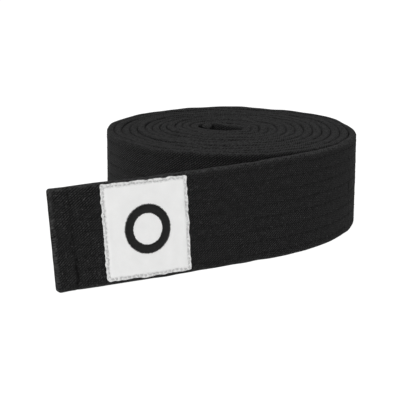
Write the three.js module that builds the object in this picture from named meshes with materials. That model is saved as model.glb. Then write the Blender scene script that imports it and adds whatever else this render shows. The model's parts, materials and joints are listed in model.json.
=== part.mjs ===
// A martial arts belt: a padded cotton strip wound up on its edge, with the labelled end lying loose.
// Units are millimetres, +Z is up, and the belt stands on its lower long edge.
// Travel along the belt goes outwards from the coil's eye, clockwise as seen from above.
import * as THREE from 'three';

// Driving dimensions of the strip
const beltWidth = 40;
const beltThickness = 2.75;
const clothThickness = 0.5;
const coverSlit = 0.4; // between the cover's two folded edges, halfway up the inner face
const plyCount = 2;
const layerGap = 0.15; // between the cloth and the plies, and from ply to ply
const plySetback = 2; // from each end of the belt to the plies inside

// Driving dimensions of the coil
const turns = 12.5;
const turnGap = 1.0; // mean clearance from turn to turn
const eyeLength = 20;
const eyeDepth = 11.6;
const eyeTilt = THREE.MathUtils.degToRad(-26);
const eyeShift = new THREE.Vector2(-3.6, 4.2); // the eye's centre from the coil's centre

// Driving dimensions of the loose end, measured along the belt from where it lifts off the coil
const looseLength = 171;
const relaxLength = 111; // over which the coil's bend fades to straight
const swingAt = 40;
const foldToLabel = 6.5; // the loose end folds this far short of its label

// Bending lines: the loose end swings at the first and folds at the second
const swingOut = THREE.MathUtils.degToRad(75);
const swingIn = THREE.MathUtils.degToRad(8);
const foldOut = THREE.MathUtils.degToRad(75);
const foldIn = THREE.MathUtils.degToRad(60);
const bendGap = 0.3;

// Sewing threads
const threadWidth = 0.5;
const threadHeight = 0.3;
const threadGap = 0.1; // from the cloth to a thread lying on it
const rowCount = 8;
const rowMargin = 3; // from each long edge to the nearest row
const hemDepth = 7.5; // from each end of the belt to its hem seam
const hemMargin = 1.5; // from each long edge to the hem seam's ends

// Label, near the loose end
const labelLength = 36.5;
const labelMargin = 1; // from each long edge of the belt
const labelThickness = 0.4;
const labelFromEnd = 19;
const labelSlant = 2.5; // its top edge sits this much nearer the end than its bottom edge
const labelCorner = 1.8;
const labelStitchInset = 1.5;
const emblemDiameter = 20;
const emblemBand = 4;

// Fineness of the faceted turns: steps per turn, coarser near the eye
const outerSteps = 20;
const innerSteps = 10;
const innerTurns = 5;
const looseStep = 7;

const turnPitch = beltThickness + turnGap;
const eyeRadius = (eyeLength + eyeDepth) / 4;
const coilRadius = eyeRadius + turns * turnPitch; // centreline of the outermost turn
const face = beltThickness / 2;
const labelHeight = beltWidth - 2 * labelMargin;
const foldAt = looseLength - labelFromEnd - labelLength - foldToLabel;

const materials = {
  cover: { color: 0x242424, roughness: 0.95, metalness: 0 },
  core: { color: 0x8c887e, roughness: 0.95, metalness: 0 },
  thread: { color: 0x1b1b1b, roughness: 0.85, metalness: 0 },
  label: { color: 0xe6e6e4, roughness: 0.6, metalness: 0 },
  labelThread: { color: 0xb9b9b6, roughness: 0.7, metalness: 0 },
  emblem: { color: 0x212121, roughness: 0.7, metalness: 0 },
};

// Centre of the strip after a number of turns from the eye: a tilted, shifted oval that grows into a circle.
function coilPoint(turn) {
  const grown = turn / turns;
  const angle = (turns - turn) * 2 * Math.PI;
  const alongEye = THREE.MathUtils.lerp(eyeLength / 2, coilRadius, grown);
  const acrossEye = THREE.MathUtils.lerp(eyeDepth / 2, coilRadius, grown);
  const point = new THREE.Vector2(alongEye * Math.cos(angle), acrossEye * Math.sin(angle));
  point.rotateAround(new THREE.Vector2(), eyeTilt * (1 - grown));
  return point.addScaledVector(eyeShift, 1 - grown);
}

// Heading of the loose end: the coil's bend eases off to none over relaxLength.
function looseHeading(distance, startHeading) {
  const eased = Math.min(distance / relaxLength, 1);
  const straightened = relaxLength * (eased ** 3 - eased ** 4 / 2) + Math.max(distance - relaxLength, 0);
  return startHeading - (distance - straightened) / coilRadius;
}

function station(point, heading, travelled) {
  const outward = new THREE.Vector2(-Math.sin(heading), Math.cos(heading));
  return { point, outward, travelled };
}

// Stations on the coil, every outward step aligned with the turn inside it so that the turns nest.
function coilStations() {
  const turnsAtStations = [];
  let turn = turns;
  while (turn > -1e-6) {
    turnsAtStations.unshift(Math.max(turn, 0));
    turn -= 1 / (turn > innerTurns + 1e-6 ? outerSteps : innerSteps);
  }
  const aside = 1e-4;
  const stations = [];
  let travelled = 0;
  for (const at of turnsAtStations) {
    const point = coilPoint(at);
    const forward = coilPoint(at + aside).sub(coilPoint(at - aside));
    if (stations.length > 0) travelled += point.distanceTo(stations.at(-1).point);
    stations.push(station(point, Math.atan2(forward.y, forward.x), travelled));
  }
  return stations;
}

// Stations on the loose end, one of them exactly on each bending line.
function looseStations(start) {
  const startHeading = Math.atan2(-start.outward.x, start.outward.y);
  const stations = [];
  const substeps = 16;
  let point = start.point.clone();
  let from = 0;
  for (const to of [swingAt, foldAt, looseLength]) {
    const steps = Math.ceil((to - from) / looseStep);
    for (let step = 1; step <= steps; step += 1) {
      const piece = (to - from) / steps / substeps;
      point = point.clone();
      for (let part = 0; part < substeps; part += 1) {
        const middle = from + ((step - 1) * substeps + part + 0.5) * piece;
        const heading = looseHeading(middle, startHeading);
        point.x += piece * Math.cos(heading);
        point.y += piece * Math.sin(heading);
      }
      const distance = from + step * substeps * piece;
      stations.push(station(point, looseHeading(distance, startHeading), start.travelled + distance));
    }
    from = to;
  }
  return stations;
}

const coil = coilStations();
const liftOff = coil.at(-1).travelled;
const line = [...coil, ...looseStations(coil.at(-1))];
const beltEnd = liftOff + looseLength;
const outermostTurn = coil.at(-1 - outerSteps).travelled;

// A point of the strip from its distance along, its offset outwards from the middle and its height.
function beltPoint(travelled, offset, height) {
  let next = line.findIndex((stop) => stop.travelled > travelled);
  if (next < 0) next = line.length - 1;
  next = Math.max(next, 1);
  const [before, after] = [line[next - 1], line[next]];
  const share = (travelled - before.travelled) / (after.travelled - before.travelled);
  const start = before.point.clone().addScaledVector(before.outward, offset);
  const end = after.point.clone().addScaledVector(after.outward, offset);
  start.lerp(end, share);
  return new THREE.Vector3(start.x, start.y, height);
}

function bendOnto(geometry, place) {
  const position = geometry.getAttribute('position');
  for (let index = 0; index < position.count; index += 1) {
    const [travelled, offset, height] = place(position.getX(index), position.getY(index), position.getZ(index));
    const bent = beltPoint(travelled, offset, height);
    position.setXYZ(index, bent.x, bent.y, bent.z);
  }
  geometry.computeVertexNormals();
  return geometry;
}

// How far an end face stands back from its bending line, so that both sides can turn about it.
function mitre(offset, outAngle, inAngle) {
  const angle = offset > 0 ? outAngle : inAngle;
  return bendGap / 2 + Math.abs(offset) * Math.tan(angle / 2);
}

// A section in (offset, height), drawn along the belt through every station of a stretch.
function drawn(section, stretch, setbackAtEnds) {
  const isStop = (stop) => stop.travelled > stretch.from + 1e-6 && stop.travelled < stretch.to - 1e-6;
  const stops = [stretch.from, ...line.filter(isStop).map((stop) => stop.travelled), stretch.to];
  const steps = stops.length - 1;
  const geometry = new THREE.ExtrudeGeometry(section, { depth: steps, steps, bevelEnabled: false });
  return bendOnto(geometry, (offset, height, along) => {
    const stop = Math.round(along);
    let travelled = stops[stop];
    if (stop === 0) travelled += stretch.startMitre ? stretch.startMitre(offset) : setbackAtEnds;
    if (stop === steps) travelled -= stretch.endMitre ? stretch.endMitre(offset) : setbackAtEnds;
    return [travelled, offset, height];
  });
}

// A flat shape in (distance along, height), laid on the strip at a lift above its outer face.
function laid(shape, lift, thickness) {
  const geometry = new THREE.ExtrudeGeometry(shape, { depth: thickness, bevelEnabled: false });
  return bendOnto(geometry, (travelled, height, depth) => [travelled, face + lift + thickness - depth, height]);
}

function outline(points) {
  return new THREE.Shape(points.map(([x, y]) => new THREE.Vector2(x, y)));
}

// The cloth: a strip folded round the plies, whose two edges nearly meet on the inner face.
function coverSection() {
  const inside = face - clothThickness;
  const [below, above] = [(beltWidth - coverSlit) / 2, (beltWidth + coverSlit) / 2];
  return outline([
    [-face, 0],
    [face, 0],
    [face, beltWidth],
    [-face, beltWidth],
    [-face, above],
    [-inside, above],
    [-inside, beltWidth - clothThickness],
    [inside, beltWidth - clothThickness],
    [inside, clothThickness],
    [-inside, clothThickness],
    [-inside, below],
    [-face, below],
  ]);
}

function plySection(ply) {
  const room = beltThickness - 2 * clothThickness;
  const plyThickness = (room - (plyCount + 1) * layerGap) / plyCount;
  const inner = -room / 2 + layerGap + ply * (plyThickness + layerGap);
  const [bottom, top] = [clothThickness + layerGap, beltWidth - clothThickness - layerGap];
  return outline([
    [inner, bottom],
    [inner + plyThickness, bottom],
    [inner + plyThickness, top],
    [inner, top],
  ]);
}

function rowSection(row) {
  const height = rowMargin + (row * (beltWidth - 2 * rowMargin)) / (rowCount - 1);
  const [inner, outer] = [face + threadGap, face + threadGap + threadHeight];
  return outline([
    [inner, height - threadWidth / 2],
    [outer, height - threadWidth / 2],
    [outer, height + threadWidth / 2],
    [inner, height + threadWidth / 2],
  ]);
}

function rectangle(from, to, bottom, top) {
  return outline([
    [from, bottom],
    [to, bottom],
    [to, top],
    [from, top],
  ]);
}

const labelFrom = beltEnd - labelFromEnd - labelLength;
const labelBottom = labelMargin;
const labelLift = 2 * threadGap + threadHeight; // the label covers the rows

// The label's outline, drawn smaller all round by an inset: a slanted rectangle with round corners.
function labelOutline(inset) {
  const [left, right] = [labelFrom + inset, labelFrom + labelLength - inset];
  const [bottom, top] = [labelBottom + inset, labelBottom + labelHeight - inset];
  const corner = Math.max(labelCorner - inset, 0.3);
  const quarter = Math.PI / 2;
  const shape = new THREE.Shape();
  shape.absarc(right - corner, bottom + corner, corner, -quarter, 0);
  shape.absarc(right - corner, top - corner, corner, 0, quarter);
  shape.absarc(left + corner, top - corner, corner, quarter, 2 * quarter);
  shape.absarc(left + corner, bottom + corner, corner, 2 * quarter, 3 * quarter);
  const cornerSteps = 4;
  const points = shape.getPoints(cornerSteps);
  const leanAt = (height) => labelSlant * ((height - labelBottom) / labelHeight - 0.5);
  return points.map((point) => [point.x + leanAt(point.y), point.y]);
}

function framed(outer, inner) {
  const shape = outline(outer);
  shape.holes.push(outline(inner));
  return shape;
}

function circlePoints(radius) {
  const steps = 32;
  const centre = [labelFrom + labelLength / 2, beltWidth / 2];
  return Array.from({ length: steps }, (unused, step) => {
    const angle = (step / steps) * 2 * Math.PI;
    return [centre[0] + radius * Math.cos(angle), centre[1] + radius * Math.sin(angle)];
  });
}

const object = new THREE.Group();

function add(name, geometry, material) {
  const mesh = new THREE.Mesh(geometry, new THREE.MeshStandardMaterial(material));
  mesh.name = name;
  object.add(mesh);
}

const swingMitre = (offset) => mitre(offset, swingOut, swingIn);
const foldMitre = (offset) => mitre(offset, foldOut, foldIn);
const swingLine = liftOff + swingAt;
const foldLine = liftOff + foldAt;
const stretches = [
  { name: 'coil', from: 0, to: swingLine, endMitre: swingMitre, rowsFrom: outermostTurn },
  { name: 'tail', from: swingLine, to: foldLine, startMitre: swingMitre, endMitre: foldMitre },
  { name: 'tip', from: foldLine, to: beltEnd, startMitre: foldMitre, rowsTo: beltEnd - hemDepth },
];

for (const stretch of stretches) {
  add(`cover_${stretch.name}`, drawn(coverSection(), stretch, 0), materials.cover);
  for (let ply = 0; ply < plyCount; ply += 1) {
    add(`core_ply_${ply + 1}_${stretch.name}`, drawn(plySection(ply), stretch, plySetback), materials.core);
  }
  const sewn = { ...stretch, from: stretch.rowsFrom ?? stretch.from, to: stretch.rowsTo ?? stretch.to };
  if (stretch.rowsTo) sewn.endMitre = () => threadWidth;
  for (let row = 0; row < rowCount; row += 1) {
    add(`stitch_row_${row + 1}_${stretch.name}`, drawn(rowSection(row), sewn, 0), materials.thread);
  }
}

const hemTop = beltWidth - hemMargin;
const outerHem = rectangle(beltEnd - hemDepth, beltEnd - hemDepth + threadWidth, hemMargin, hemTop);
add('hem_seam_tip', laid(outerHem, threadGap, threadHeight), materials.thread);
const innerHem = rectangle(hemDepth, hemDepth + threadWidth, hemMargin, hemTop);
const innerFaceLift = -2 * face - threadGap - threadHeight;
add('hem_seam_eye', laid(innerHem, innerFaceLift, threadHeight), materials.thread);

add('label', laid(outline(labelOutline(0)), labelLift, labelThickness), materials.label);
const onLabel = labelLift + labelThickness + threadGap;
const labelSeam = framed(labelOutline(labelStitchInset), labelOutline(labelStitchInset + threadWidth));
add('label_stitching', laid(labelSeam, onLabel, threadHeight), materials.labelThread);
const ring = framed(circlePoints(emblemDiameter / 2), circlePoints(emblemDiameter / 2 - emblemBand));
add('label_emblem', laid(ring, onLabel, threadHeight), materials.emblem);

// The origin goes to the middle of the footprint.
const box = new THREE.Box3().setFromObject(object);
const middle = box.getCenter(new THREE.Vector3());
object.position.set(-middle.x, -middle.y, -box.min.z);

export default object;
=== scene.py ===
"""A rolled martial arts belt: padded black cotton, sewn in eight rows, with a white label near its loose end.

Lengths are in metres. Along the belt, `u` is the distance past the point where the strip lifts off the coil:
it is negative in the wound turns and grows towards the labelled tip. Across it, `z` is the height above the
resting edge. An offset is measured outwards from the strip's middle.
"""

import math

import bpy
import numpy as np
from mathutils import Matrix, Vector
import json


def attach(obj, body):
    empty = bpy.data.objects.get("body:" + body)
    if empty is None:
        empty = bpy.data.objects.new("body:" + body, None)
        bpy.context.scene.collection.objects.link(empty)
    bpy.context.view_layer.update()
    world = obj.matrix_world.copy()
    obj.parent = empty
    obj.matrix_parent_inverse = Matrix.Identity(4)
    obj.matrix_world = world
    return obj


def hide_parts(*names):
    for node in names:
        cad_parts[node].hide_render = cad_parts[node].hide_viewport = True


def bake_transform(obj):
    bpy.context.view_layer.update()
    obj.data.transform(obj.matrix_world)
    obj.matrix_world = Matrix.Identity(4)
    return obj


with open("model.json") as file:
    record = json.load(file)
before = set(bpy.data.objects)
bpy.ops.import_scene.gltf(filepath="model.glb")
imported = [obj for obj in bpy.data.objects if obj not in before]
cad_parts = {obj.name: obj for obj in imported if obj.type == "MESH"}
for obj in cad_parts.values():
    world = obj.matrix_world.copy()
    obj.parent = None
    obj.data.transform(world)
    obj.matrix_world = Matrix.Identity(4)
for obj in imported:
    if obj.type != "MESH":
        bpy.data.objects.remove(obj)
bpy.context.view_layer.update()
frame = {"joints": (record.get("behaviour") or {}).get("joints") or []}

MM = 0.001

# ---------------------------------------------------------------- sizes of the belt, as in the CAD model
WIDTH = 40 * MM
THICKNESS = 2.75 * MM
TURNS = 12.5
TURN_GAP = 1.0 * MM
EYE_LENGTH = 20 * MM
EYE_DEPTH = 11.6 * MM
EYE_TILT = math.radians(-26)
EYE_SHIFT = np.array([-3.6, 4.2]) * MM
LOOSE_LENGTH = 171 * MM
RELAX_LENGTH = 111 * MM
SWING_AT = 40 * MM
FOLD_AT = 109 * MM
ROW_COUNT = 8
ROW_MARGIN = 3 * MM
HEM_DEPTH = 7.5 * MM
LABEL_LENGTH = 36.5 * MM
LABEL_HEIGHT = 38 * MM
LABEL_FROM_END = 19 * MM
LABEL_SLANT = 2.5 * MM
EMBLEM_DIAMETER = 20 * MM
EMBLEM_BAND = 4 * MM

COIL_RADIUS = (EYE_LENGTH + EYE_DEPTH) / 4 + TURNS * (THICKNESS + TURN_GAP)
ROWS = ROW_MARGIN + np.arange(ROW_COUNT) * (WIDTH - 2 * ROW_MARGIN) / (ROW_COUNT - 1)

# ---------------------------------------------------------------- finish of the cloth
PLUMP = 3.25 * MM  # thickness midway between two sewn rows, where nothing squeezes the strip
PLUMPEST = 4.2 * MM
TURN_CONTACT = 0.03 * MM  # left between two turns that lie against each other
VALLEY_DEPTH = 0.12 * MM  # of a sewn row, on each face
VALLEY_HALF_WIDTH = 0.55 * MM
STITCH_PITCH = 3.0 * MM
STITCH_LENGTH = 2.5 * MM
THREAD_RADIUS = 0.16 * MM
EDGE_ROUND = 1.0 * MM
EDGE_POWER = 2.5
BEND_HALF = 15 * MM  # half the length over which the cloth bends about a hinge line
END_ROUND = 1.2 * MM
END_LONGER = np.array([-0.6, 2.4]) * MM  # lower and upper corner past the mean end: the hem is off square
TIP_CORNER = 1.5 * MM

# ---------------------------------------------------------------- how the strip strays from its plain line
EYE_PRESSED = 4.2 * MM  # the innermost turns, pressed back on their far left
EYE_CURLED = 3.4 * MM  # the inner end, into the eye
CURL_LENGTH = 13 * MM
TURNS_UNEVEN = 0.24 * MM
TAIL_LEAN = 1.8 * MM  # the top of the loose end, in towards the coil
COIL_FLARE = 0.6 * MM  # the foot of the strip outwards, where it is about to leave the coil
TAIL_FLARE = 2.2 * MM  # and past that
TIP_LEAN = 2.5 * MM
TIP_LIFT = 0.8 * MM
HEM_EXTRA = 0.12 * MM  # on each face, where the hem is folded
HEM_GROOVE_DEPTH = 0.9 * MM
PUCKER_HEIGHT = 0.045 * MM
BROAD_HEIGHT = 0.06 * MM
EDGE_WAVE_HEIGHT = 0.16 * MM
FREED_THINNER = 0.45 * MM  # on each face, where the outermost turn starts to part from the next


def smoothstep(x):
    x = np.clip(x, 0, 1)
    return x * x * (3 - 2 * x)


def bump(x, centre, half_width):
    """1 at centre, easing to 0 at half_width on each side."""
    return smoothstep(1 - np.abs(x - centre) / half_width)


def ripples(seed, shortest, longest, count=14):
    """A smooth seeded noise of two lengths, about -1 to 1, made of sine waves."""
    random = np.random.default_rng(seed)
    wavelength = np.exp(random.uniform(np.log(shortest), np.log(longest), count))
    direction = random.uniform(0, math.pi, count)
    phase = random.uniform(0, 2 * math.pi, count)
    size = np.sqrt(wavelength / longest)
    size /= np.sqrt((size**2).sum() / 2) * 1.6

    def at(first, second=0.0):
        first, second = np.broadcast_arrays(np.asarray(first, float), np.asarray(second, float))
        total = np.zeros(first.shape)
        for wave in range(count):
            along = first * math.cos(direction[wave]) + second * math.sin(direction[wave])
            total += size[wave] * np.sin(2 * math.pi * along / wavelength[wave] + phase[wave])
        return total

    return at


# ---------------------------------------------------------------- the belt's line, seen from above
def coil_points(turn):
    """Centre of the strip so many turns from the eye: a tilted, shifted oval that grows into a circle."""
    grown = turn / TURNS
    angle = (TURNS - turn) * 2 * math.pi
    along = (EYE_LENGTH / 2 + (COIL_RADIUS - EYE_LENGTH / 2) * grown) * np.cos(angle)
    across = (EYE_DEPTH / 2 + (COIL_RADIUS - EYE_DEPTH / 2) * grown) * np.sin(angle)
    tilt = EYE_TILT * (1 - grown)
    x = along * np.cos(tilt) - across * np.sin(tilt) + EYE_SHIFT[0] * (1 - grown)
    y = along * np.sin(tilt) + across * np.cos(tilt) + EYE_SHIFT[1] * (1 - grown)
    return np.stack([x, y], -1)


def loose_points(u):
    """The loose end: the coil's bend eases off to none over RELAX_LENGTH. u is evenly spaced, from 0."""
    step = u[1] - u[0]
    middle = u[:-1] + step / 2
    eased = np.minimum(middle / RELAX_LENGTH, 1)
    straightened = RELAX_LENGTH * (eased**3 - eased**4 / 2) + np.maximum(middle - RELAX_LENGTH, 0)
    before, at = coil_points(np.array([TURNS - 1e-5, TURNS + 1e-5]))
    start_heading = math.atan2(*(at - before)[::-1])
    heading = start_heading - (middle - straightened) / COIL_RADIUS
    steps = np.stack([np.cos(heading), np.sin(heading)], -1) * step
    start = coil_points(np.array([TURNS]))
    return np.concatenate([start, start + np.cumsum(steps, 0)])


def slack_of_eye(wound, turn, from_start):
    """The innermost turns are pressed back on their far left, and the inner end curls into the eye."""
    around_eye = wound - EYE_SHIFT
    angle = np.arctan2(around_eye[:, 1], around_eye[:, 0])
    pressed = EYE_PRESSED * bump(angle, math.radians(112), math.radians(78)) * np.clip(1 - turn / 7.5, 0, 1)
    curled = EYE_CURLED * np.clip(1 - from_start / CURL_LENGTH, 0, 1) ** 2
    return pressed[:, None] * np.array([-0.3, 0.95]) + curled[:, None] * np.array([0.85, -0.5])


class BeltLine:
    """The strip's middle line, sampled finely enough to interpolate between samples."""

    def __init__(self):
        turn = np.linspace(0, TURNS, 12001)
        wound = coil_points(turn)
        lengths = np.linalg.norm(np.diff(wound, axis=0), axis=1)
        self.coil_length = float(lengths.sum())
        wound_u = np.concatenate([[0], np.cumsum(lengths)]) - self.coil_length
        loose_u = np.linspace(0, LOOSE_LENGTH + 10 * MM, 1201)
        self.u = np.concatenate([wound_u, loose_u[1:]])
        self.xy = np.concatenate([wound, loose_points(loose_u)[1:]])
        self.xy[: len(turn)] += slack_of_eye(wound, turn, wound_u - wound_u[0])
        uneven = TURNS_UNEVEN * ripples(16, 16 * MM, 70 * MM, count=24)(self.u)
        uneven *= smoothstep((-80 * MM - self.u) / (90 * MM))
        self.xy += uneven[:, None] * self.xy / np.linalg.norm(self.xy, axis=1)[:, None]
        forward = np.gradient(self.xy, self.u, axis=0)
        forward /= np.linalg.norm(forward, axis=1)[:, None]
        self.outward = np.stack([-forward[:, 1], forward[:, 0]], -1)
        self.start, self.end = self.u[0], LOOSE_LENGTH
        self.xy += self.shift_into_row_frame()
        self.centre = self.xy[(self.u < 0) & (self.u > -2 * math.pi * COIL_RADIUS)].mean(0)
        self.gap_out, self.gap_in = self.spacings()

    def shift_into_row_frame(self):
        """The hinge of the loose end is a point of this line, which the CAD model states in the row frame."""
        hinge = next(joint for joint in frame["joints"] if joint["name"] == "tail_swing")
        return np.array(hinge["pos_m"][:2]) - self.points(SWING_AT)

    def spacings(self):
        """Distance from each sample to the next turn outwards, and to the next one inwards."""
        wound = np.flatnonzero(self.u <= RELAX_LENGTH * 0.7)
        every = wound[::8]
        out, inside = np.full(len(every), 1.0), np.full(len(every), 1.0)
        for index, sample in enumerate(every):
            length = 2 * math.pi * np.linalg.norm(self.xy[sample] - self.xy[wound].mean(0))
            reach = max(length, 30 * MM)
            for sign, found in ((1, out), (-1, inside)):
                apart = (self.u - self.u[sample]) * sign
                near = np.flatnonzero((apart > 0.55 * reach) & (apart < 1.6 * reach))
                if len(near):
                    found[index] = np.linalg.norm(self.xy[near] - self.xy[sample], axis=1).min()
        return (
            np.interp(self.u, self.u[every], out, right=1.0),
            np.interp(self.u, self.u[every], inside, right=1.0),
        )

    def points(self, u):
        return np.stack([np.interp(u, self.u, self.xy[:, axis]) for axis in (0, 1)], -1)

    def outwards(self, u):
        return np.stack([np.interp(u, self.u, self.outward[:, axis]) for axis in (0, 1)], -1)

    def radius(self, u):
        """Radius of the bend, at least a small one."""
        before, after = self.outwards(u - MM), self.outwards(u + MM)
        turned = np.linalg.norm(after - before, axis=-1)
        return 2 * MM / np.maximum(turned, 1e-4)


line = BeltLine()

# ---------------------------------------------------------------- the cloth's surface
sag = ripples(11, 25 * MM, 160 * MM)
edge_wave = ripples(12, 9 * MM, 60 * MM)
pucker = ripples(13, 3.5 * MM, 14 * MM, count=30)
broad = ripples(14, 20 * MM, 60 * MM, count=16)
stitch_drift = np.random.default_rng(15).uniform(0, 1, ROW_COUNT)


def plumpness(u, side):
    """Half the strip's thickness between its rows: each wound turn fills half the room to the next."""
    last_turn = 2 * math.pi * COIL_RADIUS
    out = np.clip(np.interp(u, line.u, line.gap_out) - TURN_CONTACT, 2.6 * MM, PLUMPEST) / 2
    inside = np.clip(np.interp(u, line.u, line.gap_in) - TURN_CONTACT, 2.6 * MM, PLUMPEST) / 2
    out = PLUMP / 2 + (out - PLUMP / 2) * smoothstep((-0.93 * last_turn - u) / (50 * MM))
    inside = PLUMP / 2 + (inside - PLUMP / 2) * smoothstep((-10 * MM - u) / (50 * MM))
    freed_inside = bump(u, -last_turn * 0.09, 45 * MM) * (side < 0)
    freed_outside = bump(u, -last_turn * 1.09, 45 * MM) * (side > 0)
    return np.where(side > 0, out, inside) - FREED_THINNER * (freed_inside + freed_outside)


def rise(u):
    """How far the strip stands above the floor. The coil is uneven: high at its right and back, and low at
    its front right, where it rests on the floor.
    """
    wound = smoothstep(-u / (40 * MM))
    from_middle = line.points(u) - line.centre
    angle = np.arctan2(from_middle[..., 1], from_middle[..., 0])
    high_side = 0.8 * bump(angle, math.radians(20), math.radians(45))
    high_side = (high_side + 0.4 * bump(angle, math.radians(75), math.radians(35))) * wound
    on_floor = bump(angle, math.radians(-40), math.radians(60))
    uneven = (0.06 + 0.5 * wound * (1 - on_floor)) * (0.5 + 0.5 * sag(u)).clip(0, 1.3)
    return MM * (uneven + high_side)


def lean(u, z):
    """Past the coil the strip's top leans in and its foot flares out, and the tip bends back a little."""
    over = -TAIL_LEAN * bump(u, 62 * MM, 60 * MM) * (z / WIDTH) ** 1.3
    flare = COIL_FLARE * bump(u, -8 * MM, 45 * MM) + TAIL_FLARE * bump(u, 62 * MM, 55 * MM)
    bent_back = TIP_LEAN * np.maximum((u - 70 * MM) / (101 * MM), 0) ** 2
    return over + flare * (1 - z / WIDTH) - bent_back


def slide(u, z):
    """How far the cloth near the tip has slid along, since its hem was sewn off square."""
    longer = END_LONGER[0] + (END_LONGER[1] - END_LONGER[0]) * z / WIDTH
    return longer * smoothstep((u - (line.end - 22 * MM)) / (20 * MM))


def hem_seam_at(z):
    """The tip's hem seam, which runs a little askew."""
    return line.end - HEM_DEPTH + (0.8 - 1.5 * (1 - z / WIDTH)) * MM


def valleys(u, z):
    """Depth of the sewn rows at a height, deepest where the needle went through."""
    depth = np.zeros(np.broadcast(u, z).shape)
    for row, height in enumerate(ROWS):
        needle = np.cos(2 * math.pi * (u / STITCH_PITCH + stitch_drift[row]))
        across = np.exp(-(((z - height) / VALLEY_HALF_WIDTH) ** 2))
        depth += across * (0.82 + 0.18 * needle)
    return VALLEY_DEPTH * depth


def hem(u, z):
    """1 in the folded hem at the tip, 0 on the rest of the strip."""
    return smoothstep((u - hem_seam_at(z) + 0.8 * MM) / (2.4 * MM))


def hem_groove(u, z):
    """How hard the tip's hem seam pulls the cloth in: most in its lower half, and at each stitch."""
    askew = hem_seam_at(z) + 0.6 * MM * edge_wave(z * 2)
    pulled = 0.06 + 0.62 * smoothstep(1.25 - 1.8 * z / WIDTH) + 0.16 * edge_wave(z * 3, 0.1)
    needle = 0.7 + 0.3 * np.cos(2 * math.pi * z / STITCH_PITCH)
    return np.maximum(pulled, 0) * needle * np.exp(-(((u - askew) / (0.6 * MM)) ** 2))


def half_thickness(u, z, side):
    """Half the strip's thickness away from its edges, on the outer (1) or the inner (-1) face."""
    hemmed = hem(u, z)
    body = plumpness(u, side) + HEM_EXTRA * hemmed
    body = body - valleys(u, z) * (1 - hemmed)
    rumpled = 1 + 3.0 * bump(u, hem_seam_at(z), 16 * MM)
    body = body + PUCKER_HEIGHT * rumpled * pucker(u, z * 1.7 + side) + BROAD_HEIGHT * broad(u, z + 3 * side)
    return body - hem_groove(u, z) * HEM_GROOVE_DEPTH


def end_shapes(u):
    """Share of the thickness left near either end of the belt, and how far the corners have drawn in."""
    from_end = np.minimum(line.end - u, u - line.start)
    thin = np.clip(1 - from_end / END_ROUND, 0, 1)
    corner = np.clip(1 - from_end / TIP_CORNER, 0, 1)
    return np.sqrt(np.maximum(1 - thin**2, 0)), TIP_CORNER * (1 - np.sqrt(np.maximum(1 - corner**2, 0)))


def place(u, offset, z):
    """A point of the row frame from its place on the belt."""
    u, offset, z = np.broadcast_arrays(u, offset, z)
    along = u + slide(u, z)
    xy = line.points(along) + line.outwards(along) * (offset + lean(u, z))[..., None]
    lifted = TIP_LIFT * (1 - z / WIDTH) * smoothstep((u - 122 * MM) / (46 * MM))
    return np.concatenate([xy, (z + rise(u) + lifted)[..., None]], -1)


# ---------------------------------------------------------------- mesh helpers
def make_mesh(name, vertices, faces):
    mesh = bpy.data.meshes.new(name)
    mesh.from_pydata(vertices.reshape(-1, 3).tolist(), [], faces)
    mesh.validate()
    mesh.polygons.foreach_set("use_smooth", [True] * len(mesh.polygons))
    mesh.update()
    piece = bpy.data.objects.new(name, mesh)
    bpy.context.scene.collection.objects.link(piece)
    return piece


def grid_faces(rows, columns, closed):
    """Quads of a grid of rows by columns of vertices; closed joins the last column to the first."""
    last = columns if closed else columns - 1
    row = np.arange(rows - 1)[:, None]
    column = np.arange(last)[None, :]
    after = (column + 1) % columns
    a, b = row * columns + column, row * columns + after
    c, d = (row + 1) * columns + after, (row + 1) * columns + column
    return np.stack(np.broadcast_arrays(a, b, c, d), -1).reshape(-1, 4).tolist()


def set_map(piece, values, name="belt_map"):
    """Gives each vertex a vector that the material reads, by default its place on the cloth."""
    attribute = piece.data.attributes.new(name, "FLOAT_VECTOR", "POINT")
    attribute.data.foreach_set("vector", values.astype(np.float32).ravel())


# ---------------------------------------------------------------- the strip
def section_heights(fine):
    """Heights on one face, from the lower edge's apex to the upper one's, and how round each lies."""
    corner = np.linspace(0, 1, 8)[:-1] * math.pi / 2
    edge = EDGE_ROUND * (1 - np.cos(corner) ** (2 / EDGE_POWER))
    share = np.sin(corner) ** (2 / EDGE_POWER)
    near = np.array([-1.05, -0.5, 0, 0.5, 1.05]) * MM if fine else np.array([-0.8, 0, 0.8]) * MM
    between = (ROWS[1:] + ROWS[:-1]) / 2
    rows = (ROWS[:, None] + near).ravel()
    face = np.sort(np.concatenate([rows, between]))
    heights = np.concatenate([edge, face, WIDTH - edge[::-1]])
    return heights, np.concatenate([share, np.ones(len(face)), share[::-1]])


def ring(fine):
    """The section's closed outline: heights, roundness, side, and distance from the inner face's middle."""
    heights, share = section_heights(fine)
    middle = np.searchsorted(heights, WIDTH / 2)
    inner_low, inner_high = np.arange(middle - 1, -1, -1), np.arange(len(heights) - 1, middle - 1, -1)
    outer = np.arange(1, len(heights) - 1)
    order = np.concatenate([inner_low, outer, inner_high])
    side = np.concatenate([np.full(len(inner_low), -1), np.ones(len(outer)), np.full(len(inner_high), -1)])
    z, round_share = heights[order], share[order]
    offset = side * round_share * PLUMP / 2
    around = np.concatenate([[0], np.cumsum(np.hypot(np.diff(z), np.diff(offset)))])
    return z, round_share, side, around


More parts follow.
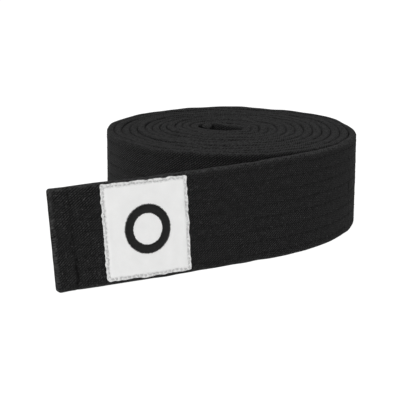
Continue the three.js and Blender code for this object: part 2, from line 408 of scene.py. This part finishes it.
def stations(start, end, coarse):
    """Places along a stretch, closer where it bends tightly and near the hems."""
    places = [start]
    while places[-1] < end:
        here = places[-1]
        step = min(coarse, 0.12 * float(line.radius(here)))
        to_end = min(line.end - here, here - line.start)
        if to_end < HEM_DEPTH + 4 * MM:
            step = min(step, 0.4 * MM)
        if to_end < 2 * MM:
            step = min(step, 0.16 * MM)
        places.append(here + max(step, 0.12 * MM))
    places[-1] = end
    if places[-1] - places[-2] < 0.1 * MM:
        places.pop(-2)
    return np.array(places)


def strip(name, start, end, coarse, fine=True):
    """One stretch of the sewn strip as a closed body, flush with the next stretch at its cut ends."""
    u = stations(start, end, coarse)[:, None]
    z, share, side, around = (column[None, :] for column in ring(fine))
    thin, drawn_in = end_shapes(u)
    wave = EDGE_WAVE_HEIGHT * edge_wave(u) * (1 - 2 * z / WIDTH)
    height = z + wave + drawn_in * (1 - 2 * z / WIDTH)
    offset = side * share * half_thickness(u, z, side) * np.maximum(thin, 0.04)
    vertices = place(u, offset, np.maximum(height, 0))
    rows, columns = vertices.shape[:2]
    faces = grid_faces(rows, columns, closed=True)
    round_about = len(faces)
    faces += cap_faces(columns, 0, flip=True) + cap_faces(columns, (rows - 1) * columns, flip=False)
    piece = make_mesh(name, vertices, faces)
    piece.data.polygons.foreach_set("use_smooth", [index < round_about for index in range(len(faces))])
    cloth = np.stack(np.broadcast_arrays(u + 0 * around, around + 0 * u, 0 * (u + around)), -1)
    set_map(piece, cloth)
    from_edge = np.minimum(np.minimum(z, WIDTH - z), line.end - u) + 0 * u
    # The hem seam's groove, which the material also darkens as painted shade.
    hem_shade_mask = hem_groove(u, z) + 0 * from_edge
    set_map(piece, np.stack([from_edge, hem_shade_mask, 0 * hem_shade_mask], -1), "edge_map")
    return piece


def cap_faces(columns, first, flip):
    """Quads across a section, each joining two neighbours to the two that face them."""
    faces = []
    low, high = 0, columns - 1
    while high - low > 2:
        faces.append([first + low, first + low + 1, first + high - 1, first + high])
        low, high = low + 1, high - 1
    if high - low == 2:
        faces.append([first + low, first + low + 1, first + high])
    return [face[::-1] for face in faces] if flip else faces


# ---------------------------------------------------------------- sewing threads
STITCH_RINGS = 6
STITCH_SIDES = 6
HEM_STITCHES = 12
HEM_STITCH_MARGIN = 1.5 * MM
LABEL_THREAD_RADIUS = 0.20 * MM
RING_THREAD_RADIUS = 0.26 * MM
RING_THREADS = 150


def thread_bar(centre_line, across, up, radius):
    """Vertices of one stitch: a thin bar, closed at both ends, along a line of points."""
    rings = len(centre_line)
    share = np.linspace(-1, 1, rings)
    size = radius * np.sqrt(np.maximum(1 - (0.96 * share) ** 4, 0.02))[:, None, None]
    angle = np.arange(STITCH_SIDES) / STITCH_SIDES * 2 * math.pi
    circle = across[:, None, :] * np.cos(angle)[None, :, None] + up[:, None, :] * np.sin(angle)[None, :, None]
    return centre_line[:, None, :] + circle * size


def stitches(name, bars):
    """One piece of many stitches. bars is a list of vertex grids, each rings by sides."""
    faces, vertices, first = [], [], 0
    body = grid_faces(STITCH_RINGS, STITCH_SIDES, closed=True)
    ends = [list(range(STITCH_SIDES))[::-1], [len(body) + side for side in range(STITCH_SIDES)]]
    for bar in bars:
        vertices.append(bar.reshape(-1, 3))
        faces += [[first + corner for corner in face] for face in body + ends]
        first += bar.shape[0] * bar.shape[1]
    return make_mesh(name, np.concatenate(vertices), faces)


def surface_frame(u, z, side):
    """A point of the strip's surface, and its outward normal."""
    offset = side * half_thickness(u, z, side)
    point = place(u, offset, z)
    outwards = line.outwards(u) * side
    normal = np.concatenate([outwards, np.zeros(outwards.shape[:-1] + (1,))], -1)
    return point, normal


def row_stitch(middle, height, side):
    """A stitch that lies along the belt in its row's valley and dives into the cloth at both ends."""
    share = np.linspace(-1, 1, STITCH_RINGS)
    u = middle + share * STITCH_LENGTH / 2
    point, normal = surface_frame(u, np.full(STITCH_RINGS, height), side)
    lift = THREAD_RADIUS * (0.3 - 1.2 * share**4)
    centre = point + normal * lift[:, None]
    up = np.tile([0.0, 0.0, 1.0], (STITCH_RINGS, 1))
    return thread_bar(centre, up, normal, THREAD_RADIUS)


def sewn_row(name, row, start, end, sides):
    first = math.ceil(start / STITCH_PITCH + stitch_drift[row])
    last = math.floor(end / STITCH_PITCH + stitch_drift[row] - 0.5)
    middles = (np.arange(first, last + 1) + 0.5 - stitch_drift[row]) * STITCH_PITCH
    middles = middles[(middles > start) & (middles < end)]
    return stitches(name, [row_stitch(middle, ROWS[row], side) for side in sides for middle in middles])


def hem_seam(name, seam_at, side):
    """A row of stitches across the belt, at a place that depends on the height."""
    bars = []
    length = (WIDTH - 2 * HEM_STITCH_MARGIN) / HEM_STITCHES
    for index in range(HEM_STITCHES):
        share = np.linspace(-1, 1, STITCH_RINGS)
        z = HEM_STITCH_MARGIN + (index + 0.5) * length + share * length * 0.42
        point, normal = surface_frame(seam_at(z), z, side)
        lift = THREAD_RADIUS * (0.8 - 1.6 * share**4)
        outwards = line.outwards(seam_at(z))
        along = np.concatenate([outwards[:, 1:], -outwards[:, :1], np.zeros((STITCH_RINGS, 1))], -1)
        bars.append(thread_bar(point + normal * lift[:, None], along, normal, THREAD_RADIUS))
    return stitches(name, bars)


# ---------------------------------------------------------------- the label
LABEL_THICKNESS = 0.55 * MM
LABEL_CORNER = 1.2 * MM  # sharper than in the CAD model
LABEL_FROM = LOOSE_LENGTH - LABEL_FROM_END - LABEL_LENGTH + 0.3 * MM
LABEL_MIDDLE = np.array([LABEL_FROM + LABEL_LENGTH / 2, WIDTH / 2])
LABEL_STITCH_INSET = 0.95 * MM
LABEL_STITCH_PITCH = 1.75 * MM
label_edge_wave = ripples(21, 1.8 * MM, 7 * MM, count=24)
label_pucker = ripples(22, 4 * MM, 16 * MM, count=24)


def label_plane(x, y):
    """A place on the belt from one on the label, measured from its middle. The label is sewn on slanted."""
    inside = np.maximum(np.abs(x) / (LABEL_LENGTH / 2), np.abs(y) / (LABEL_HEIGHT / 2))
    wave = 0.24 * MM * smoothstep((inside - 0.85) / 0.15)
    u = LABEL_MIDDLE[0] + x * 0.99 + LABEL_SLANT * y / LABEL_HEIGHT + wave * label_edge_wave(y, x)
    askew = 0.50 * MM + 0.3 * MM * x / LABEL_LENGTH
    z = LABEL_MIDDLE[1] + y + askew + 0.7 * wave * label_edge_wave(x + 1, y)
    return u, z


def rounded(x, y, half_x, half_y, corner):
    """Moves the points in a rectangle's corner squares into its round corners."""
    over_x = np.maximum(np.abs(x) - (half_x - corner), 0) / corner
    over_y = np.maximum(np.abs(y) - (half_y - corner), 0) / corner
    both = (over_x > 0) & (over_y > 0)
    new_x = np.sign(x) * (half_x - corner + corner * over_x * np.sqrt(1 - over_y**2 / 2))
    new_y = np.sign(y) * (half_y - corner + corner * over_y * np.sqrt(1 - over_x**2 / 2))
    return np.where(both, new_x, x), np.where(both, new_y, y)


def label_depth(x, y):
    """How far the label's face is drawn down: along its stitching, and softly over the belt's rows."""
    from_edge = np.minimum(LABEL_LENGTH / 2 - np.abs(x), LABEL_HEIGHT / 2 - np.abs(y))
    seam = np.exp(-(((from_edge - LABEL_STITCH_INSET) / (0.55 * MM)) ** 2))
    rim = np.clip(1 - from_edge / (0.45 * MM), 0, 1)
    rolled = LABEL_THICKNESS * (1 - np.sqrt(np.maximum(1 - (0.97 * rim) ** 2, 0)))
    _, z = label_plane(x, y)
    rows = np.zeros(np.shape(x))
    for height in ROWS:
        rows = rows + np.exp(-(((z - height) / (1.1 * MM)) ** 2))
    return 0.34 * MM * seam + rolled + 0.05 * MM * rows - 0.06 * MM * label_pucker(x, y)


def label_surface(x, y, lift=0.0):
    """A point on the label's face, or above it."""
    u, z = label_plane(x, y)
    base = plumpness(u, 1) + 0.02 * MM
    return place(u, base + LABEL_THICKNESS - label_depth(x, y) + lift, z)


def label_columns(half, count):
    """Places across the label, closer together near its edge."""
    even = np.linspace(0, 1, count)
    near_edge = np.array([0.1, 0.25, 0.45, 0.8, 1.15, 1.5, 1.85, 2.3]) * MM
    inner = even * (half - 2.8 * MM)
    right = np.concatenate([inner[1:], half - near_edge[::-1], [half]])
    return np.concatenate([-right[::-1], [0], right])


def make_label():
    x_places = label_columns(LABEL_LENGTH / 2, 34)
    y_places = label_columns(LABEL_HEIGHT / 2, 36)
    x, y = np.meshgrid(x_places, y_places, indexing="ij")
    x, y = rounded(x, y, LABEL_LENGTH / 2, LABEL_HEIGHT / 2, LABEL_CORNER)
    face = label_surface(x, y)
    u, z = label_plane(x, y)
    back = place(u, plumpness(u, 1) + 0.02 * MM, z)
    rows, columns = x.shape
    count = rows * columns
    faces = [quad[::-1] for quad in grid_faces(rows, columns, closed=False)]
    faces += [[corner + count for corner in quad[::-1]] for quad in faces]
    border = [(0, column) for column in range(columns)]
    border += [(row, columns - 1) for row in range(1, rows)]
    border += [(rows - 1, column) for column in range(columns - 2, -1, -1)]
    border += [(row, 0) for row in range(rows - 2, 0, -1)]
    flat = [row * columns + column for row, column in border]
    for here, after in zip(flat, flat[1:] + flat[:1]):
        faces.append([here, after, after + count, here + count])
    piece = make_mesh("label_patch", np.stack([face, back]), faces)
    cloth = np.stack([x, y, 0 * x], -1)
    set_map(piece, np.stack([cloth, cloth]))
    return piece


def outline_walk(inset):
    """The stitches round the label, at an inset from its edge: a short run of points for each."""
    half_x, half_y = LABEL_LENGTH / 2 - inset, LABEL_HEIGHT / 2 - inset
    corner = LABEL_CORNER
    arcs = []
    for turn, (sign_x, sign_y) in enumerate([(1, 1), (-1, 1), (-1, -1), (1, -1)]):
        angle = np.linspace(0, math.pi / 2, 8) + turn * math.pi / 2
        centre = np.array([sign_x * (half_x - corner), sign_y * (half_y - corner)])
        arcs.append(centre + corner * np.stack([np.cos(angle), np.sin(angle)], -1))
    path = np.concatenate(arcs + [arcs[0][:1]])
    travelled = np.concatenate([[0], np.cumsum(np.linalg.norm(np.diff(path, axis=0), axis=1))])
    count = round(travelled[-1] / LABEL_STITCH_PITCH)
    share = np.linspace(-0.36, 0.36, STITCH_RINGS)
    at = (np.arange(count)[:, None] + 0.5 + share) / count * travelled[-1]
    return np.stack([np.interp(at, travelled, path[:, axis]) for axis in (0, 1)], -1)


def make_label_stitching():
    bars = []
    for walk in outline_walk(LABEL_STITCH_INSET):
        share = np.linspace(-1, 1, STITCH_RINGS)
        lift = LABEL_THREAD_RADIUS * (0.9 - 1.7 * share**4)
        centre = label_surface(walk[:, 0], walk[:, 1], lift)
        forward = np.gradient(centre, axis=0)
        forward /= np.linalg.norm(forward, axis=1)[:, None]
        outwards = line.outwards(label_plane(walk[:, 0], walk[:, 1])[0])
        normal = np.concatenate([outwards, np.zeros((STITCH_RINGS, 1))], -1)
        bars.append(thread_bar(centre, np.cross(forward, normal), normal, LABEL_THREAD_RADIUS))
    return stitches("label_seam", bars)


def make_emblem():
    """A plain ring in satin stitch: threads laid side by side across the band."""
    bars = []
    random = np.random.default_rng(31)
    for index in range(RING_THREADS):
        angle = index / RING_THREADS * 2 * math.pi
        slant = angle + 0.16
        jitter = random.uniform(-0.12, 0.12, 2) * MM
        inner = EMBLEM_DIAMETER / 2 - EMBLEM_BAND + jitter[0]
        outer = EMBLEM_DIAMETER / 2 + jitter[1]
        share = np.linspace(0, 1, STITCH_RINGS)
        x = (inner * math.cos(angle)) * (1 - share) + (outer * math.cos(slant)) * share
        y = (inner * math.sin(angle)) * (1 - share) + (outer * math.sin(slant)) * share
        lift = RING_THREAD_RADIUS * (0.9 - 1.5 * (2 * share - 1) ** 6)
        centre = label_surface(x, y, lift)
        forward = np.gradient(centre, axis=0)
        forward /= np.linalg.norm(forward, axis=1)[:, None]
        outwards = line.outwards(label_plane(x, y)[0])
        normal = np.concatenate([outwards, np.zeros((STITCH_RINGS, 1))], -1)
        bars.append(thread_bar(centre, np.cross(forward, normal), normal, RING_THREAD_RADIUS))
    return stitches("embroidered_ring", bars)


# ---------------------------------------------------------------- materials
class Nodes:
    """Short calls for building a node tree."""

    def __init__(self, name):
        self.material = bpy.data.materials.new(name)
        self.material.use_nodes = True
        self.tree = self.material.node_tree
        self.tree.nodes.clear()
        output = self.tree.nodes.new("ShaderNodeOutputMaterial")
        self.shader = self.tree.nodes.new("ShaderNodeBsdfPrincipled")
        self.tree.links.new(self.shader.outputs[0], output.inputs[0])

    def add(self, kind, values=None, **settings):
        node = self.tree.nodes.new(kind)
        for name, value in settings.items():
            setattr(node, name, value)
        for socket, value in (values or {}).items():
            if isinstance(value, bpy.types.NodeSocket):
                self.tree.links.new(value, node.inputs[socket])
            else:
                node.inputs[socket].default_value = value
        return node

    def math(self, operation, first, second=0.0, third=0.0):
        return self.add("ShaderNodeMath", {0: first, 1: second, 2: third}, operation=operation).outputs[0]

    def fit(self, value, low, high, to_low=0.0, to_high=1.0):
        values = {"Value": value, "From Min": low, "From Max": high, "To Min": to_low, "To Max": to_high}
        return self.add("ShaderNodeMapRange", values).outputs["Result"]

    def noise(self, vector, scale, detail=2.0, roughness=0.5):
        values = {"Vector": vector, "Scale": scale, "Detail": detail, "Roughness": roughness}
        return self.add("ShaderNodeTexNoise", values).outputs["Fac"]

    def attribute(self, name):
        return self.add("ShaderNodeAttribute", attribute_name=name).outputs["Vector"]

    def split(self, vector):
        return self.add("ShaderNodeSeparateXYZ", {0: vector}).outputs

    def ramp(self, factor, stops):
        node = self.add("ShaderNodeValToRGB", {"Fac": factor})
        elements = node.color_ramp.elements
        while len(elements) < len(stops):
            elements.new(0.5)
        for element, (position, colour) in zip(elements, stops):
            element.position = position
            element.color = (*colour, 1)
        return node.outputs["Color"]

    def mix(self, factor, first, second):
        """Blends a colour socket into a plain colour."""
        values = {0: factor, 6: first, 7: (*second, 1)}
        return self.add("ShaderNodeMix", values, data_type="RGBA").outputs[2]

    def bump(self, height, distance, strength):
        values = {"Height": height, "Distance": distance, "Strength": strength}
        return self.add("ShaderNodeBump", values).outputs[0]

    def finish(self, colour, roughness, normal=None, **uniform):
        self.tree.links.new(colour, self.shader.inputs["Base Color"])
        if isinstance(roughness, bpy.types.NodeSocket):
            self.tree.links.new(roughness, self.shader.inputs["Roughness"])
        else:
            self.shader.inputs["Roughness"].default_value = roughness
        if normal is not None:
            self.tree.links.new(normal, self.shader.inputs["Normal"])
        for name, value in uniform.items():
            self.shader.inputs[name.replace("_", " ")].default_value = value
        return self.material


TWILL_PITCH = 0.80 * MM
TWILL_ANGLE = math.radians(38)
# Tones of the cotton: the twill's ribs take the lighter ones as painted highlight and its grooves the darker
# ones as painted shade, with mottle and fuzz.
COTTON_SHADES = [
    (0.21, (0.0009, 0.0009, 0.0010)),
    (0.48, (0.0080, 0.0080, 0.0081)),
    (0.70, (0.031, 0.031, 0.031)),
]
# Edges pale from rubbing, and paler still from a painted highlight where they catch the light.
RUBBED_AND_HIGHLIT_COTTON = (0.052, 0.052, 0.052)
LINT = (0.09, 0.09, 0.09)
# Painted shade for the hem seam's groove.
HEM_SHADE_COLOUR = (0.0016, 0.0016, 0.0016)
LABEL_RIM = (0.36, 0.36, 0.36)


def belt_cloth():
    """Black cotton drill: twill ribs, each a run of short floats, clearer in some places than in others,
    coloured with painted highlight on the ribs and painted shade between them; edges pale from rubbing and
    from a painted highlight where they catch the light; lint towards the tip; painted shade in the hem seam's
    groove.
    """
    n = Nodes("belt_cotton")
    place_on_cloth = n.attribute("belt_map")
    u, around, _ = n.split(place_on_cloth)
    from_edge, hem_shade_mask, _ = n.split(n.attribute("edge_map"))
    wobble = n.noise(place_on_cloth, 420.0, 3.0)
    across = n.math("MULTIPLY", u, math.sin(TWILL_ANGLE) / TWILL_PITCH)
    across = n.math("MULTIPLY_ADD", around, math.cos(TWILL_ANGLE) / TWILL_PITCH, across)
    across = n.math("MULTIPLY_ADD", wobble, 1.1, across)
    along = n.math("MULTIPLY", u, math.cos(TWILL_ANGLE) / (1.5 * TWILL_PITCH))
    along = n.math("MULTIPLY_ADD", around, -math.sin(TWILL_ANGLE) / (1.5 * TWILL_PITCH), along)
    stagger = n.math("MULTIPLY_ADD", n.math("FLOOR", across), 0.37, along)
    rib = n.math("PINGPONG", across, 0.5)
    rib = n.math("SMOOTH_MIN", n.math("MULTIPLY", rib, 2.0), 0.8, 0.25)
    float_end = n.math("PINGPONG", stagger, 0.5)
    float_end = n.fit(float_end, 0.0, 0.16, 0.35, 1.0)
    weave = n.math("MULTIPLY", rib, float_end)
    fuzz = n.noise(place_on_cloth, 1500.0, 4.0, 0.75)
    height = n.math("MULTIPLY_ADD", fuzz, 0.45, weave)
    mottle = n.noise(place_on_cloth, 360.0, 5.0, 0.72)
    clear = n.fit(n.noise(place_on_cloth, 150.0, 3.0, 0.6), 0.38, 0.62, 0.22, 0.62)
    clear = n.math("ADD", clear, n.fit(u, -0.20, -0.15, 0.35, 0.0))
    clear = n.math("ADD", clear, n.fit(from_edge, 0.8 * MM, 2.2 * MM, 0.40, 0.0))
    # The weave term lightens the ribs and darkens the grooves between them: painted highlight and painted
    # shade on the twill, besides its bump.
    shade = n.math("MULTIPLY_ADD", n.math("SUBTRACT", weave, 0.52), clear, n.math("MULTIPLY", mottle, 0.35))
    shade = n.math("MULTIPLY_ADD", fuzz, 0.70, shade)
    colour = n.ramp(shade, COTTON_SHADES)
    # Edges pale from rubbing, and paler still from a painted highlight where the folded edges catch the
    # light.
    rubbed_and_highlit = n.fit(n.noise(place_on_cloth, 700.0, 4.0, 0.75), 0.42, 0.60, 0.0, 1.0)
    rubbed_and_highlit = n.math("MULTIPLY", n.fit(from_edge, 0.0, 1.4 * MM, 1.0, 0.0), rubbed_and_highlit)
    worn_and_highlit = n.math("MULTIPLY", rubbed_and_highlit, n.fit(u, 0.0, 0.05, 0.54, 0.9))
    colour = n.mix(worn_and_highlit, colour, RUBBED_AND_HIGHLIT_COTTON)
    lint = n.noise(place_on_cloth, 1100.0, 2.0)
    lint = n.math("MULTIPLY", n.fit(lint, 0.62, 0.76), n.fit(u, 0.11, 0.14, 0.40, 0.85))
    colour = n.mix(lint, colour, LINT)
    # Painted shade in the hem seam's groove.
    painted_hem_shade = n.math("MINIMUM", n.math("MULTIPLY", hem_shade_mask, 1.3), 0.85)
    colour = n.mix(painted_hem_shade, colour, HEM_SHADE_COLOUR)
    normal = n.bump(height, 0.22 * MM, 1.0)
    rough = n.fit(mottle, 0.3, 0.7, 0.86, 0.96)
    return n.finish(
        colour,
        rough,
        normal,
        Specular_IOR_Level=0.05,
        Sheen_Weight=0.035,
        Sheen_Roughness=0.5,
        Sheen_Tint=(0.55, 0.55, 0.56, 1),
    )


def thread_material(name, dark, light, roughness, sheen):
    """Twisted sewing thread."""
    n = Nodes(name)
    where = n.add("ShaderNodeTexCoord").outputs["Object"]
    x, y, z = n.split(where)
    twist = n.math("ADD", n.math("MULTIPLY", n.math("ADD", x, y), 2600.0), n.math("MULTIPLY", z, 5200.0))
    strand = n.math("PINGPONG", twist, 0.5)
    grain = n.noise(where, 900.0, 3.0)
    shade = n.math("MULTIPLY_ADD", strand, 0.9, n.math("MULTIPLY", grain, 0.6))
    colour = n.ramp(shade, [(0.1, dark), (0.9, light)])
    normal = n.bump(strand, 0.05 * MM, 0.8)
    return n.finish(colour, roughness, normal, Specular_IOR_Level=0.12, Sheen_Weight=sheen)


def label_cloth():
    """White woven label: fine warp lines crossed by finer picks, with grey specks round its rim."""
    n = Nodes("label_weave")
    where = n.attribute("belt_map")
    x, y, _ = n.split(where)
    warp = n.math("PINGPONG", n.math("MULTIPLY", x, 1 / (0.42 * MM)), 0.5)
    pick = n.math("PINGPONG", n.math("MULTIPLY", y, 1 / (0.30 * MM)), 0.5)
    weave = n.math("ADD", n.math("MULTIPLY", warp, 1.1), n.math("MULTIPLY", pick, 0.9))
    mottle = n.noise(where, 150.0, 4.0, 0.6)
    shade = n.math("MULTIPLY_ADD", weave, 0.35, n.math("MULTIPLY", mottle, 0.6))
    colour = n.ramp(shade, [(0.2, (0.69, 0.69, 0.685)), (0.8, (0.80, 0.80, 0.795))])
    from_side = n.math("SUBTRACT", LABEL_LENGTH / 2, n.math("ABSOLUTE", x))
    from_top = n.math("SUBTRACT", LABEL_HEIGHT / 2, n.math("ABSOLUTE", y))
    rim = n.fit(n.math("MINIMUM", from_side, from_top), 1.0 * MM, 1.9 * MM, 1.0, 0.0)
    rim = n.math("MULTIPLY", rim, n.fit(n.noise(where, 1000.0, 3.0, 0.7), 0.46, 0.66, 0.12, 0.95))
    colour = n.mix(rim, colour, LABEL_RIM)
    normal = n.bump(weave, 0.05 * MM, 0.7)
    return n.finish(
        colour, n.fit(mottle, 0.3, 0.7, 0.5, 0.64), normal, Specular_IOR_Level=0.35, Sheen_Weight=0.15
    )


def floor_material():
    n = Nodes("studio_floor")
    where = n.add("ShaderNodeTexCoord").outputs["Object"]
    colour = n.ramp(n.noise(where, 3.0), [(0.3, (0.14, 0.14, 0.14)), (0.7, (0.16, 0.16, 0.16))])
    return n.finish(colour, 0.9, Specular_IOR_Level=0.0, Emission_Color=(1, 1, 1, 1), Emission_Strength=0.99)


# ---------------------------------------------------------------- the pieces
cloth = belt_cloth()
black_thread = thread_material("black_thread", (0.0015, 0.0015, 0.0015), (0.006, 0.006, 0.006), 0.8, 0.0)
grey_thread = thread_material("label_thread", (0.30, 0.30, 0.30), (0.64, 0.64, 0.64), 0.7, 0.0)
ring_thread = thread_material("emblem_thread", (0.004, 0.004, 0.004), (0.014, 0.014, 0.014), 0.6, 0.05)
woven_label = label_cloth()


def dress(piece, material, body=None, blended=None, stands_for=()):
    """Gives a piece its material and ties it to a body; a piece across a hinge stays untied, its placement
    baked into its mesh. Hides the CAD parts that the piece stands for.
    """
    piece.data.materials.append(material)
    if blended:
        parent, child, hinge_at = blended
        start, end = place(np.array([hinge_at - BEND_HALF, hinge_at + BEND_HALF]), 0.0, 0.0)
        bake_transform(piece)
    else:
        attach(piece, body)
    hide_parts(*stands_for)


OUTER_FROM = -2 * math.pi * COIL_RADIUS * 1.12
SEEN_FROM = -2 * math.pi * COIL_RADIUS * 0.99
COIL_TO = SWING_AT - BEND_HALF
TAIL_TO = FOLD_AT - BEND_HALF
ACROSS_SWING = ("coil", "tail", SWING_AT)
ACROSS_FOLD = ("tail", "tip", FOLD_AT)
STRETCHES = [
    # name, start, end, step, body, blend, stands for
    ("wound_turns", line.start, OUTER_FROM, 2.4 * MM, "coil", None, "coil"),
    ("outer_turn", OUTER_FROM, COIL_TO, 0.9 * MM, "coil", None, None),
    ("loose_tail", COIL_TO, TAIL_TO, 0.8 * MM, None, ACROSS_SWING, "tail"),
    ("labelled_tip", TAIL_TO, line.end, 0.7 * MM, None, ACROSS_FOLD, "tip"),
]

for name, start, end, step, body, blended, stands_for in STRETCHES:
    piece = strip(f"belt_{name}", start, end, step, fine=name != "wound_turns")
    nodes = []
    if stands_for:
        nodes = [f"cover_{stands_for}", f"core_ply_1_{stands_for}", f"core_ply_2_{stands_for}"]
    dress(piece, cloth, body, blended, nodes)

SEWN = [
    # name, start, end, faces that are sewn, body, blend
    ("coil", SEEN_FROM, COIL_TO, (1,), "coil", None),
    ("tail", COIL_TO, TAIL_TO, (1, -1), None, ACROSS_SWING),
    ("tip", TAIL_TO, line.end - HEM_DEPTH - 2.5 * MM, (1, -1), None, ACROSS_FOLD),
]
for name, start, end, sides, body, blended in SEWN:
    for row in range(ROW_COUNT):
        piece = sewn_row(f"sewn_row_{row + 1}_{name}", row, start, end, sides)
        dress(piece, black_thread, body, blended, [f"stitch_row_{row + 1}_{name}"])

tip_seam = hem_seam("hem_stitches_tip", hem_seam_at, 1)
dress(tip_seam, black_thread, "tip", None, ["hem_seam_tip"])
eye_seam = hem_seam("hem_stitches_eye", lambda z: line.start + HEM_DEPTH + 0 * z, -1)
dress(eye_seam, black_thread, "coil", None, ["hem_seam_eye"])

label = make_label()
dress(label, woven_label, None, ACROSS_FOLD, ["label"])
label_seam = make_label_stitching()
dress(label_seam, grey_thread, None, ACROSS_FOLD, ["label_stitching"])
emblem = make_emblem()
dress(emblem, ring_thread, None, ACROSS_FOLD, ["label_emblem"])

# ---------------------------------------------------------------- camera, floor and light
def make_camera():
    """Looks along +Y from just above the belt, with a long lens."""
    target = Vector((-0.0088, 0.0251, 0.0082))
    distance = 0.5236
    elevation = math.radians(14.74)
    roll = math.radians(0.47)
    camera = bpy.data.objects.new("camera", bpy.data.cameras.new("camera"))
    bpy.context.scene.collection.objects.link(camera)
    back = Vector((0, -math.cos(elevation), math.sin(elevation)))
    turn = Matrix.Rotation(math.pi / 2 - elevation, 4, "X") @ Matrix.Rotation(roll, 4, "Z")
    camera.matrix_world = Matrix.Translation(target + back * distance) @ turn
    camera.data.sensor_width = 36
    camera.data.lens = 104.3  # in millimetres, as the sensor is
    camera.data.clip_start = 0.01
    bpy.context.scene.camera = camera


def soft_light(name, place_at, towards, size, power):
    light = bpy.data.lights.new(name, "AREA")
    light.shape = "DISK"
    light.size = size
    light.energy = power
    lamp = bpy.data.objects.new(name, light)
    bpy.context.scene.collection.objects.link(lamp)
    lamp.location = place_at
    lamp.rotation_euler = (Vector(towards) - Vector(place_at)).to_track_quat("-Z", "Y").to_euler()


def make_studio():
    bpy.ops.mesh.primitive_plane_add(size=30)
    floor = bpy.context.object
    floor.name = "floor"
    floor.data.materials.append(floor_material())
    world = bpy.data.worlds.new("studio")
    world.use_nodes = True
    background = world.node_tree.nodes["Background"]
    background.inputs["Color"].default_value = (1, 1, 1, 1)
    background.inputs["Strength"].default_value = 0.31
    bpy.context.scene.world = world
    soft_light("top_light", (0.0, -0.15, 1.2), (0, 0, 0), 1.2, 2.2)
    soft_light("back_light", (0.7, 1.5, 0.9), (0, 0, 0.02), 1.0, 3.0)
    soft_light("front_light", (-0.45, -1.5, 1.15), (0, 0, 0.02), 1.2, 24.0)
    bpy.context.scene.view_settings.view_transform = "Standard"


make_camera()
make_studio()
